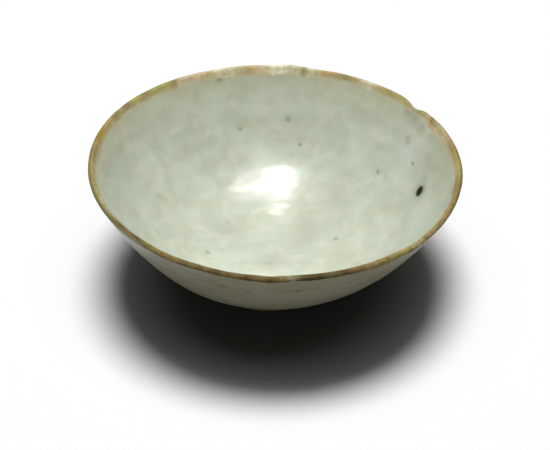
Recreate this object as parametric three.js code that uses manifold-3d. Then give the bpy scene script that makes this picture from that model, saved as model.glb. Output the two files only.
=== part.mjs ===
// Ceramic bowl, thrown on a wheel and glazed: clay wall, turned foot, glaze coats, iron-brown lip, iron specks.
// Millimetres, +Z up. The bowl stands on z = 0, with the middle of its outline over the origin.
// Angles run counter-clockwise from +X, so the side nearest the viewer is at 270 degrees.

import * as THREE from 'three';
import { mergeVertices } from 'three/addons/utils/BufferGeometryUtils.js';
import Module from 'manifold-3d';

const degree = Math.PI / 180;

// Bowl
const mouthRadius = 90; // axis to the outermost line of the lip
const rimHeight = 68.4; // table to the top of the lip, at the axis of the lean
const lipThickness = 3; // across the rounded lip, coats included
const lipSlope = 62.1 * degree; // steepness of the wall where it meets the lip
const floorThickness = 6.4; // at the middle of the bowl, coats included

// Foot
const footRadius = 31; // outside, over the glaze
const footWidth = 5.5; // of the ring, under the glaze
const footRecess = 6.5; // table to the bare underside inside the foot
const footBevel = 0.8; // on both edges that meet the table
const footBare = 2; // strip that is wiped clean of glaze above the table
const footPool = 1; // where the glaze gathers between the foot and the wall

// Coats
const innerGlazeThickness = 0.5;
const outerGlazeThickness = 0.4;
const wellGlazeThickness = 0.4; // under the bowl, inside the foot
const bandOutside = 0.8; // brown lip, down the outside from where the round begins
const bandInside = 1.6; // brown lip, down the inside

// Unevenness of the hand and of the kiln, all of it fading out towards the foot
const lean = 1.55 * degree; // the lip is lower on the right
const footOffset = 3.6; // the foot stands left of the mouth's middle
const mouthOval = 0.65; // the mouth is this much narrower to the sides and deeper front to back
const mouthLobe = 0.3; // three soft bulges, one of them at the front
const lobeAngle = 270 * degree;
const dentAngle = 36.8 * degree; // a pinch in the lip at the rear right
const dentSpread = 3.4 * degree;
const dentDrop = 1.8;
const dentPush = 1.25; // towards the axis
const lobeGrowth = 3; // power of the radius with which the oval and the lobes grow
const dentGrowth = 16; // power of the radius with which the dent grows
const shiftFade = 2; // power with which the foot's offset fades out up the wall

// Iron specks of the inside. Reach is the share of the way from the axis to the lip, angle goes round the axis,
// length and width lie along the wall, and turned is the long side's angle from level.
const speckProud = 0.15; // above the glaze
const speckSeat = 0.1; // gap between a speck and the clay below it
const speckGap = 0.15; // between a speck and the glaze round it
const specks = [
  { name: 'iron_spot_large', reach: 0.84, angle: 8.4, length: 6, width: 5.1, turned: 43 },
  { name: 'iron_speck_rear_left', reach: 0.823, angle: 104.6, length: 2.8, width: 2.4, turned: 90 },
  { name: 'iron_speck_rear', reach: 0.853, angle: 84.5, length: 4, width: 2.3, turned: 90 },
  { name: 'iron_speck_rear_low', reach: 0.763, angle: 78, length: 2.8, width: 2.1, turned: 90 },
  { name: 'iron_speck_right_low', reach: 0.763, angle: 36.2, length: 3.3, width: 2.5, turned: 13 },
  { name: 'iron_speck_right', reach: 0.872, angle: 23, length: 3.4, width: 2.4, turned: 22 },
  { name: 'iron_speck_floor_right', reach: 0.39, angle: 13, length: 3.1, width: 2.8, turned: 0 },
  { name: 'iron_speck_floor_left', reach: 0.364, angle: 185.2, length: 3.4, width: 2.6, turned: 0 },
];

// Fineness
const facets = 56; // round the bowl
const facetDraw = 0.38; // how far the facets are drawn in towards the dent
const outsideSteps = 8;
const insideSteps = 9;
const lipSteps = 5;
const speckSides = 14;

// A point of the true round bowl, by distance from the axis, height and angle, moved to where the hand and
// the kiln left it
function place(radius, height, angle) {
  const share = radius / mouthRadius;
  const climb = THREE.MathUtils.clamp((height - footRecess) / (rimHeight - footRecess), 0, 1);
  const oval = -mouthOval * Math.cos(2 * angle);
  const lobe = mouthLobe * Math.cos(3 * (angle - lobeAngle));
  const turn = Math.atan2(Math.sin(angle - dentAngle), Math.cos(angle - dentAngle));
  const dent = Math.exp(-((turn / dentSpread) ** 2)) * share ** dentGrowth;
  const reach = radius + (oval + lobe) * share ** lobeGrowth - dent * dentPush;
  const x = reach * Math.cos(angle);
  const y = reach * Math.sin(angle);
  const shift = -footOffset * (1 - climb) ** shiftFade;
  const drop = climb * Math.tan(lean) * x + dent * dentDrop;
  return new THREE.Vector3(x + shift, y + mouthLobe, height - drop); // the front lobe is centred by mouthLobe
}

// Turns a closed profile, outwards along its underside and back over its top, into one closed solid. Each
// four-sided facet is split from its lower point, so pieces that share a stretch of profile share its facets.
function turnProfile(profile) {
  const corners = [];
  const rings = profile.map((point) => {
    const count = point.x === 0 ? 1 : facets;
    const first = corners.length;
    for (let i = 0; i < count; i += 1) {
      const even = (2 * Math.PI * i) / facets;
      corners.push(place(point.x, point.y, dentAngle + even - facetDraw * Math.sin(even)));
    }
    return (i) => first + (i % count);
  });
  const faces = [];
  profile.forEach((point, k) => {
    const next = (k + 1) % profile.length;
    const above = profile[next];
    const rises = above.y > point.y || (above.y === point.y && above.x > point.x);
    for (let i = 0; i < facets; i += 1) {
      const a = rings[k](i);
      const b = rings[k](i + 1);
      const c = rings[next](i + 1);
      const d = rings[next](i);
      if (a === b && c === d) continue;
      if (a === b) faces.push(a, c, d);
      else if (c === d) faces.push(a, b, c);
      else if (rises) faces.push(a, b, c, a, c, d);
      else faces.push(a, b, d, b, c, d);
    }
  });
  const geometry = new THREE.BufferGeometry().setFromPoints(corners);
  geometry.setIndex(faces);
  return geometry;
}

// A face of the wall rises from the axis as a power of the radius, and meets the lip at the lip's slope
function wallFace(bottom, top) {
  const rise = top.y - bottom;
  const power = (Math.tan(lipSlope) * top.x) / rise;
  return {
    at: (radius) => new THREE.Vector2(radius, bottom + rise * (radius / top.x) ** power),
    slope: (radius) => Math.atan(((power * rise) / top.x) * (radius / top.x) ** (power - 1)),
  };
}

// A point of a face moved square to it, outwards and down where distance is positive
function offFace(face, radius, distance) {
  const slope = face.slope(radius);
  return face.at(radius).add(new THREE.Vector2(Math.sin(slope), -Math.cos(slope)).multiplyScalar(distance));
}

function spread(from, to, steps) {
  return Array.from({ length: steps + 1 }, (_, i) => from + ((to - from) * i) / steps);
}

// Lip: half a round, square to the wall
const lipRound = lipThickness / 2;
const lipCentre = new THREE.Vector2(mouthRadius - lipRound, rimHeight - lipRound);
const acrossWall = new THREE.Vector2(Math.sin(lipSlope), -Math.cos(lipSlope));
const outsideTop = lipCentre.clone().addScaledVector(acrossWall, lipRound);
const insideTop = lipCentre.clone().addScaledVector(acrossWall, -lipRound);

const outsideFace = wallFace(footRecess, outsideTop);
const insideFace = wallFace(footRecess + floorThickness, insideTop);

// Distances from the axis at which the two faces are drawn
const footClayRadius = footRadius - outerGlazeThickness;
const footInnerRadius = footClayRadius - footWidth;
const outsideBandRadius = outsideTop.x - bandOutside * Math.cos(lipSlope);
const insideBandRadius = insideTop.x - bandInside * Math.cos(lipSlope);
const outsideRadii = spread(footRadius + footPool, outsideBandRadius, outsideSteps);
const insideRadii = spread(insideBandRadius, 0, insideSteps);

// Outside, from the foot to the band: the glaze's face, and the clay's face below it
const footCorner = outsideFace.at(footRadius);
const outsideGlazed = outsideRadii.map((radius) => outsideFace.at(radius));
const outsideClay = outsideRadii.map((radius) => offFace(outsideFace, radius, -outerGlazeThickness));
const seatHeight = offFace(outsideFace, footClayRadius, -outerGlazeThickness).y;
const seatOuter = new THREE.Vector2(footClayRadius, seatHeight);

// Inside, from the band down to the axis. At the axis the wall is level, so every offset stays on it.
const insideGlazed = insideRadii.map((radius) => insideFace.at(radius));
const insideClay = insideRadii.map((radius) => offFace(insideFace, radius, innerGlazeThickness));

// Lip, from the outside over the top to the inside. The coat's thickness goes over from one glaze to the other.
const lipTurns = spread(0, 1, lipSteps);
function lipPoint(share, depth) {
  const angle = lipSlope - Math.PI / 2 + share * Math.PI;
  return new THREE.Vector2(Math.cos(angle), Math.sin(angle)).multiplyScalar(lipRound - depth).add(lipCentre);
}
const lipFace = lipTurns.map((share) => lipPoint(share, 0));
const lipClay = lipTurns.map((share) => {
  return lipPoint(share, THREE.MathUtils.lerp(outerGlazeThickness, innerGlazeThickness, share));
});

// Foot and underside
const bossMiddle = new THREE.Vector2(0, footRecess);
const bossEdge = new THREE.Vector2(footInnerRadius, footRecess);
const seatInner = new THREE.Vector2(footInnerRadius, seatHeight);
const footOuterBare = new THREE.Vector2(footClayRadius, footBare);
const footInnerBare = new THREE.Vector2(footInnerRadius, footBare);

const clayProfile = [
  bossMiddle, bossEdge, seatInner, seatOuter,
  ...outsideClay, ...lipClay, ...insideClay,
];

const footProfile = [
  new THREE.Vector2(footInnerRadius + footBevel, 0),
  new THREE.Vector2(footClayRadius - footBevel, 0),
  new THREE.Vector2(footClayRadius, footBevel),
  footOuterBare, seatOuter, seatInner, bossEdge, footInnerBare,
  new THREE.Vector2(footInnerRadius, footBevel),
];

const outerGlazeProfile = [
  footOuterBare,
  new THREE.Vector2(footRadius, footBare),
  new THREE.Vector2(footRadius, footCorner.y - footPool),
  ...outsideGlazed, ...outsideClay.toReversed(), seatOuter,
];

const innerGlazeProfile = [...insideClay.toReversed(), ...insideGlazed];

const lipProfile = [
  outsideGlazed.at(-1), ...lipFace, insideGlazed[0],
  insideClay[0], ...lipClay.toReversed(), outsideClay.at(-1),
];

const wellGlazeProfile = [
  new THREE.Vector2(0, footRecess - wellGlazeThickness),
  new THREE.Vector2(footInnerRadius - wellGlazeThickness, footRecess - wellGlazeThickness),
  new THREE.Vector2(footInnerRadius - wellGlazeThickness, footBare),
  footInnerBare, bossEdge, bossMiddle,
];

// Joining and cutting
const wasm = await Module();
wasm.setup();

function toSolid(geometry) {
  const bare = geometry.clone();
  bare.deleteAttribute('normal');
  bare.deleteAttribute('uv');
  const merged = mergeVertices(bare);
  const vertProperties = Float32Array.from(merged.attributes.position.array);
  const triVerts = Uint32Array.from(merged.index.array);
  return new wasm.Manifold(new wasm.Mesh({ numProp: 3, vertProperties, triVerts }));
}

function toGeometry(solid) {
  const mesh = solid.getMesh();
  const geometry = new THREE.BufferGeometry();
  geometry.setAttribute('position', new THREE.BufferAttribute(mesh.vertProperties, 3));
  geometry.setIndex(new THREE.BufferAttribute(mesh.triVerts, 1));
  return geometry;
}

// Oval bar through the inside face, square to it, that marks out a speck or the hole round it
function speckBar(speck, margin) {
  const radius = speck.reach * insideBandRadius;
  const angle = speck.angle * degree;
  const barLength = 4 * innerGlazeThickness + 2 * speckProud;
  const nudge = 0.0001; // share of the radius, and part of a turn, that shows the face's directions
  const onFace = (distance, turn) => place(distance, insideFace.at(distance).y, turn);
  const centre = onFace(radius, angle);
  const up = onFace(radius * (1 + nudge), angle).sub(centre).normalize();
  const round = onFace(radius, angle + nudge).sub(centre).normalize();
  const normal = up.clone().cross(round).normalize();
  const level = normal.clone().cross(up).normalize();
  const bar = new THREE.CylinderGeometry(1, 1, barLength, speckSides);
  bar.scale(speck.length / 2 + margin, 1, speck.width / 2 + margin);
  bar.rotateY(speck.turned * degree);
  bar.applyMatrix4(new THREE.Matrix4().makeBasis(level, normal, up).setPosition(centre));
  return toSolid(bar);
}

// The layer that the specks fill: from just above the clay to just above the glaze
const speckFloor = insideRadii.map((radius) => offFace(insideFace, radius, innerGlazeThickness - speckSeat));
const speckTop = insideRadii.map((radius) => offFace(insideFace, radius, -speckProud));
const speckLayer = toSolid(turnProfile([...speckFloor.toReversed(), ...speckTop]));

const speckGeometries = specks.map((speck) => toGeometry(speckLayer.intersect(speckBar(speck, 0))));
const holedGlaze = specks.reduce(
  (glaze, speck) => glaze.subtract(speckBar(speck, speckGap)),
  toSolid(turnProfile(innerGlazeProfile)),
);

// Finishes
const glaze = { color: 0xc4ccba, roughness: 0.22, metalness: 0 };
const shadedGlaze = { color: 0xb3b39c, roughness: 0.3, metalness: 0 };
const bareClay = { color: 0xb9a27e, roughness: 0.85, metalness: 0 };
const brownLip = { color: 0x8a6a3c, roughness: 0.5, metalness: 0 };
const iron = { color: 0x3c3a2c, roughness: 0.45, metalness: 0.1 };

const bowl = new THREE.Group();

function addPiece(name, geometry, finish) {
  geometry.computeVertexNormals();
  const mesh = new THREE.Mesh(geometry, new THREE.MeshStandardMaterial(finish));
  mesh.name = name;
  bowl.add(mesh);
}

addPiece('clay_body', turnProfile(clayProfile), bareClay);
addPiece('foot_ring', turnProfile(footProfile), bareClay);
addPiece('inner_glaze', toGeometry(holedGlaze), glaze);
addPiece('outer_glaze', turnProfile(outerGlazeProfile), shadedGlaze);
addPiece('lip_band', turnProfile(lipProfile), brownLip);
addPiece('foot_well_glaze', turnProfile(wellGlazeProfile), shadedGlaze);
specks.forEach((speck, i) => addPiece(speck.name, speckGeometries[i], iron));

export default bowl;
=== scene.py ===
# Thrown ceramic bowl: clay wall, turned foot, glaze coats, iron-brown lip and iron specks, in Blender 4.5.
import bpy
import math
from mathutils import Matrix, Vector
from mathutils.bvhtree import BVHTree


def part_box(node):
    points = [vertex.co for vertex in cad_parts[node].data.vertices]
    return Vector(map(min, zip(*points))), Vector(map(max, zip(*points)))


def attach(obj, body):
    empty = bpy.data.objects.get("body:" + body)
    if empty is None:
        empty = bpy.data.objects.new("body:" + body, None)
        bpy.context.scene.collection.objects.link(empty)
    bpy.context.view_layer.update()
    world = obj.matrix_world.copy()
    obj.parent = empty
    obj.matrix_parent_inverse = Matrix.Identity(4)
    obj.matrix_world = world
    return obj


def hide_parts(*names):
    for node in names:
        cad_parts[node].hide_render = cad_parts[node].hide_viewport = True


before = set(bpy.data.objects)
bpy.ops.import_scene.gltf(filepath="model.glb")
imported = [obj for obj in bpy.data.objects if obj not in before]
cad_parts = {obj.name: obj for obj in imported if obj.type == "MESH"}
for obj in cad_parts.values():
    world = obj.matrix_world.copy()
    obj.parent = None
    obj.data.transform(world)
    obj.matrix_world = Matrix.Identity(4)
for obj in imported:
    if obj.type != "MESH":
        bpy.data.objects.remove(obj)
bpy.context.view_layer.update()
mm = 0.001
degree = math.pi / 180


# Numbers that are worked out the same way for plain values and for sockets of a node tree

plainSums = {
    "SINE": math.sin,
    "COSINE": math.cos,
    "TANGENT": math.tan,
    "ARCTAN2": math.atan2,
    "EXPONENT": math.exp,
    "MAXIMUM": max,
    "MINIMUM": min,
}


class Field:  # a number that a node tree works out, for sums with other fields or plain numbers
    def __init__(self, socket):
        self.socket = socket
        self.tree = socket.id_data


def addOperator(name, operation):
    setattr(Field, "__" + name + "__", lambda self, other: calc(operation, self, other))
    setattr(Field, "__r" + name + "__", lambda self, other: calc(operation, other, self))


addOperator("add", "ADD")
addOperator("sub", "SUBTRACT")
addOperator("mul", "MULTIPLY")
addOperator("truediv", "DIVIDE")
addOperator("pow", "POWER")


def calc(operation, *values):  # a math node where any value is a field, or else a plain number
    fields = [value for value in values if isinstance(value, Field)]
    if not fields:
        return plainSums[operation](*values)
    tree = fields[0].tree
    node = tree.nodes.new("ShaderNodeMath")
    node.operation = operation
    for slot, value in zip(node.inputs, values):
        feed(slot, value)
    return Field(node.outputs[0])


def feed(slot, value):  # a link from a field or a socket, or a plain value
    if isinstance(value, Field):
        value.tree.links.new(value.socket, slot)
    elif isinstance(value, bpy.types.NodeSocket):
        slot.id_data.links.new(value, slot)
    else:
        slot.default_value = value


def addNode(tree, kind, values=None, **settings):  # values are fed to inputs by name or number
    node = tree.nodes.new(kind)
    for name, setting in settings.items():
        setattr(node, name, setting)
    for name, value in (values or {}).items():
        feed(node.inputs[name], value)
    return node


def addObject(name, data):
    made = bpy.data.objects.new(name, data)
    bpy.context.collection.objects.link(made)
    return made


def startTree(name, inputs):  # a Geometry Nodes tree with named inputs, and the sockets that bring them
    tree = bpy.data.node_groups.new(name, "GeometryNodeTree")
    for kind, names in inputs.items():
        for given in names:
            tree.interface.new_socket(given, in_out="INPUT", socket_type="NodeSocket" + kind)
    tree.interface.new_socket("Geometry", in_out="OUTPUT", socket_type="NodeSocketGeometry")
    return tree, tree.nodes.new("NodeGroupInput").outputs


def endTree(tree, made, material):  # made is the tree's last node but one
    finish = addNode(tree, "GeometryNodeSetMaterial", {"Geometry": made.outputs[0], "Material": material})
    feed(tree.nodes.new("NodeGroupOutput").inputs["Geometry"], finish.outputs[0])
    return tree


def clamp(value, low=0.0, high=1.0):
    return calc("MINIMUM", calc("MAXIMUM", value, low), high)


def ease(value, start, end):  # 0 before start, 1 after end, smooth between
    share = clamp((value - start) / (end - start))
    return share * share * (3.0 - 2.0 * share)


def hump(distance, width):  # 1 at no distance, soft and round
    return calc("EXPONENT", -1.0 * (distance / width) * (distance / width))


def turnFrom(angle, centre):  # signed angle from centre, within half a turn
    return calc("ARCTAN2", calc("SINE", angle - centre), calc("COSINE", angle - centre))


def combine(x, y, z):
    return addNode(x.tree, "ShaderNodeCombineXYZ", {0: x, 1: y, 2: z}).outputs[0]


def separate(vector):
    node = addNode(vector.id_data, "ShaderNodeSeparateXYZ", {0: vector})
    return [Field(socket) for socket in node.outputs]


def noise(vector, size, detail=2.0, roughness=0.5, stray=0.0):  # 0 to 1, lumps about size across
    node = addNode(vector.id_data, "ShaderNodeTexNoise", {
        "Vector": vector, "Scale": 1.0 / size, "Detail": detail,
        "Roughness": roughness, "Distortion": stray,
    })
    return Field(node.outputs[0])


# The bowl's true shape, with its size and foot read off the CAD parts in model.glb

lipLow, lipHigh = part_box("lip_band")
footLow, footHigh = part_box("foot_ring")
lipHalf = (lipHigh - lipLow) / 2
footHalf = (footHigh - footLow) / 2

bowl = {
    "mouthRadius": (lipHalf.x + lipHalf.y) / 2,
    "mouthOval": (lipHalf.y - lipHalf.x) / 2,  # narrower to the sides
    "rimHeight": 68.4 * mm,
    "lipThickness": 3.0 * mm,
    "lipSlope": 62.1 * degree,
    "floorThickness": 6.4 * mm,
    "footRadius": footHalf.x,  # of the clay
    "footWidth": 5.5 * mm,
    "footRecess": 6.5 * mm,
    "footBevel": 0.8 * mm,
    "footBare": 2.0 * mm,
    "footPool": 1.0 * mm,
    "footOffset": -(footLow.x + footHigh.x) / 2,
    "innerGlaze": 0.5 * mm,
    "outerGlaze": 0.4 * mm,
    "wellGlaze": 0.4 * mm,
    "bandOutside": 0.8 * mm,
    "bandInside": 1.6 * mm,
    "lean": 1.55 * degree,
    "mouthLobe": 0.3 * mm,
    "lobeAngle": 270 * degree,
    "dentAngle": 36.8 * degree,
    "dentSpread": 3.4 * degree,
    "dentDrop": 1.8 * mm,
    "dentPush": 1.25 * mm,
    "lobeGrowth": 3.0,
    "dentGrowth": 16.0,
    "shiftFade": 2.0,
}


# A point of the true round bowl moved to where the hand and the kiln left it.
# Radius, height and angle may be fields.
def place(radius, height, angle, sizes):
    share = radius / sizes["mouthRadius"]
    climb = clamp((height - sizes["footRecess"]) / (sizes["rimHeight"] - sizes["footRecess"]))
    oval = sizes["mouthOval"] * calc("COSINE", 2.0 * angle)
    lobe = sizes["mouthLobe"] * calc("COSINE", 3.0 * (angle - sizes["lobeAngle"]))
    dent = hump(turnFrom(angle, sizes["dentAngle"]), sizes["dentSpread"]) * share ** sizes["dentGrowth"]
    reach = radius + (lobe - oval) * share ** sizes["lobeGrowth"] - dent * sizes["dentPush"]
    x = reach * calc("COSINE", angle)
    y = reach * calc("SINE", angle)
    shift = sizes["footOffset"] * (1.0 - climb) ** sizes["shiftFade"]
    drop = climb * calc("TANGENT", sizes["lean"]) * x + dent * sizes["dentDrop"]
    return x - shift, y + sizes["mouthLobe"], height - drop


# A face of the wall rises from the axis as a power of the radius and meets the lip at the lip's slope
def wallFace(bottom, top):
    rise = top.y - bottom
    power = math.tan(bowl["lipSlope"]) * top.x / rise
    return {"bottom": bottom, "rise": rise, "top": top.x, "power": power}


def faceHeight(face, radius):
    return face["bottom"] + face["rise"] * (radius / face["top"]) ** face["power"]


def faceSlope(face, radius):
    steep = face["power"] * face["rise"] / face["top"]
    return math.atan(steep * (radius / face["top"]) ** (face["power"] - 1))


def heading(angle):  # a direction, by its angle from level outwards
    return Vector((math.cos(angle), math.sin(angle)))


def faceOut(face, radius):  # square to the face, outwards and down
    return heading(faceSlope(face, radius) - 90 * degree)


def faceUp(face, radius):  # along the face, towards the lip
    return heading(faceSlope(face, radius))


lipRound = bowl["lipThickness"] / 2
lipCentre = Vector((bowl["mouthRadius"] - lipRound, bowl["rimHeight"] - lipRound))
acrossWall = heading(bowl["lipSlope"] - 90 * degree)
outsideTop = lipCentre + acrossWall * lipRound
insideTop = lipCentre - acrossWall * lipRound
outsideFace = wallFace(bowl["footRecess"], outsideTop)
insideFace = wallFace(bowl["footRecess"] + bowl["floorThickness"], insideTop)
outsideBandRadius = outsideTop.x - bowl["bandOutside"] * math.cos(bowl["lipSlope"])
insideBandRadius = insideTop.x - bowl["bandInside"] * math.cos(bowl["lipSlope"])
quarterRound = lipRound * math.pi / 2
print("bowl: sizes set")


# Profile stations: a point of the profile as radius and height, the way it is pushed, the way a coat's edge
# wanders, and how much of each unevenness it takes

wall = {
    "insideSteps": 132,
    "outsideSteps": 108,
    "bandSteps": 5,
    "lipSteps": 22,
    "ringInside": 0.05 * mm,  # throwing rings, height
    "ringOutside": 0.03 * mm,
    "ringSpacingInside": 11 * mm,
    "ringSpacingOutside": 7 * mm,
    "lumpInside": 0.22 * mm,  # soft lumps left by the fingers
    "lumpOutside": 0.20 * mm,
    "dimples": 0.06 * mm,  # small unevenness of the glaze's face
    "edgeSlide": 0.75 * mm,  # how far the edge of the brown band wanders
    "edgeFade": 5 * mm,
    "axisFade": 9 * mm,
    "bandTurn": 0.2,  # share of a throwing ring across the band
}

still = Vector((0.0, 0.0))
stationNumbers = ("ring", "turns", "lump", "mark", "grit", "below")
farBelow = -bowl["mouthRadius"]  # for the foot and the well, where nothing is burnt


def station(point, push=still, slide=still, **numbers):
    made = dict.fromkeys(stationNumbers, 0.0)
    made.update(point=point, push=push, slide=slide, below=farBelow)
    made.update(numbers)
    return made


def corner(radius, height):
    return station(Vector((radius, height)))


def spread(start, end, steps):
    return [start + (end - start) * i / steps for i in range(steps + 1)]


def arcLengths(face, radii):
    lengths = [0.0]
    for first, second in zip(radii, radii[1:]):
        rise = faceHeight(face, second) - faceHeight(face, first)
        lengths.append(lengths[-1] + math.hypot(second - first, rise))
    return lengths


def facePoint(face, radius, depth):  # a positive depth goes outwards and down
    point = Vector((radius, faceHeight(face, radius))) + faceOut(face, radius) * depth
    return Vector((max(point.x, 0.0) if radius else 0.0, point.y))


def insideStations(depth, skip=1):  # from the axis up to the brown band
    radii = spread(0.0, insideBandRadius, wall["insideSteps"])
    lengths = arcLengths(insideFace, radii)
    stations = []
    for radius, length in zip(radii, lengths):
        toBand = lengths[-1] - length
        held = ease(radius, 0.0, wall["axisFade"])
        nearEdge = 1.0 - ease(toBand, 0.0, wall["edgeFade"])
        stations.append(station(
            facePoint(insideFace, radius, depth),
            push=-faceOut(insideFace, radius),
            slide=faceUp(insideFace, radius) * wall["edgeSlide"] * nearEdge,
            ring=held * wall["ringInside"],
            turns=length / wall["ringSpacingInside"],
            lump=wall["lumpInside"],
            mark=held,
            below=quarterRound + bowl["bandInside"] + toBand,
        ))
    return stations[:-1:skip] + stations[-1:]


def outsideStations(depth, skip=1):  # from the foot up to the brown band
    start = bowl["footRadius"] + bowl["outerGlaze"] + bowl["footPool"]
    radii = spread(start, outsideBandRadius, wall["outsideSteps"])
    lengths = arcLengths(outsideFace, radii)
    stations = []
    for radius, length in zip(radii, lengths):
        toBand = lengths[-1] - length
        held = ease(length, 0.0, wall["edgeFade"])
        nearEdge = 1.0 - ease(toBand, 0.0, wall["edgeFade"])
        stations.append(station(
            facePoint(outsideFace, radius, -depth),
            push=faceOut(outsideFace, radius),
            slide=faceUp(outsideFace, radius) * wall["edgeSlide"] * nearEdge,
            ring=held * wall["ringOutside"],
            turns=length / wall["ringSpacingOutside"],
            lump=held * wall["lumpOutside"],
            below=-(quarterRound + bowl["bandOutside"] + toBand),
        ))
    return stations[:-1:skip] + stations[-1:]


# From the band's edge to the round; side is 1 inside and -1 outside
def bandStations(face, radii, depth, side):
    ring, lump = ("ringInside", "lumpInside") if side > 0 else ("ringOutside", "lumpOutside")
    stations = []
    for share in spread(0.0, 1.0, wall["bandSteps"]):
        radius = radii[0] + (radii[1] - radii[0]) * share
        toRound = (radii[1] - radius) / math.cos(bowl["lipSlope"])
        stations.append(station(
            facePoint(face, radius, depth * side),
            push=-faceOut(face, radius) * side,
            slide=faceUp(face, radius) * wall["edgeSlide"] * (1.0 - ease(share, 0.0, 1.0)),
            ring=wall[ring] * (1.0 - share),
            turns=bandTurns[side] + (1.0 - toRound / bowl["bandInside"]) * wall["bandTurn"],
            lump=wall[lump],
            below=side * (quarterRound + toRound),
        ))
    return stations


bandTurns = {
    1: insideStations(0.0)[-1]["turns"],
    -1: outsideStations(0.0)[-1]["turns"],
}


def lipStations(depthOut, depthIn):  # from the band's outside edge over the lip to its inside edge
    outer = bandStations(outsideFace, (outsideBandRadius, outsideTop.x), depthOut, -1)
    inner = bandStations(insideFace, (insideBandRadius, insideTop.x), depthIn, 1)
    over = []
    for share in spread(0.0, 1.0, wall["lipSteps"])[1:-1]:
        way = heading(bowl["lipSlope"] + (180 * share - 90) * degree)
        depth = depthOut + (depthIn - depthOut) * share
        over.append(station(
            lipCentre + way * (lipRound - depth),
            push=way,
            lump=wall["lumpOutside"] + (wall["lumpInside"] - wall["lumpOutside"]) * share,
            below=(share - 0.5) * math.pi * lipRound,
        ))
    return outer + over + inner[::-1]


# Geometry Nodes tree that turns a profile round the axis, makes it as uneven as a hand does and closes it

turned = {
    "stepsRound": 336,
    "facetDraw": 0.38,  # how far the steps are drawn in towards the dent
    "lumpSize": 26 * mm,
    "ringDrift": 0.55,  # how far a throwing ring strays, in rings
    "seed": 11.0,
    "sharpAngle": 38 * degree,
    "closeWithin": 0.002 * mm,
}

# Noises: size of the lumps, detail, roughness, stray
grain = {
    "drift": (22 * mm, 1.0),
    "ringPatches": (30 * mm, 1.0, 0.5, 0.5),
    "dimples": (9 * mm, 2.0, 0.6),
    "grit": (0.9 * mm, 3.0, 0.6),
    "wander": (0.16, 3.0, 0.6),  # this and the next two run round the mouth, with sizes in radii
    "lift": (0.45, 2.0),
    "crest": (0.07, 2.0),
}
uneven = {
    "ringFaint": 0.35,  # strength of the rings where they are weakest, and what it gains elsewhere
    "ringGain": 1.3,
    "lumpLevel": 0.8,  # above the middle, so that the lumps are mostly hollows
    "wander": 1.2,  # of the band's edge, in slides
    "lift": 0.5 * mm,
    "crest": 0.45 * mm,
    "crestLevel": 0.62,
    "lipGrowth": 9.0,  # power of the radius with which the lip's unevenness grows
}

# Soft places where a finger pressed the inside: radius mm, angle, mm to each side up the wall and round it,
# and how far it stands out in mm
fingerMarks = [
    (34, 97, 7, 26, 0.12),
    (37, 70, 5, 8, -0.08),
    (36, 106, 6, 9, 0.12),
    (60, 88, 10, 34, -1.0),
    (50, 125, 12, 13, -0.95),
]

# Places where the lip runs higher or further out: angle, degrees to each side, mm higher, mm further out
rimMarks = [
    (344, 13, 0.0, -0.15),
    (30, 4, -0.3, 0.0),
    (75, 4, -0.5, 0.0),
    (85, 3, 0.6, 0.0),
    (110, 4, -0.4, 0.0),
    (182, 9, 0.0, -0.2),
    (238, 7, -0.4, 0.0),
    (262, 9, -0.4, 0.0),
    (269, 3, -0.5, 0.0),
    (276, 3, 0.2, 0.0),
    (314, 4, -0.8, 0.0),
]


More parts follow.
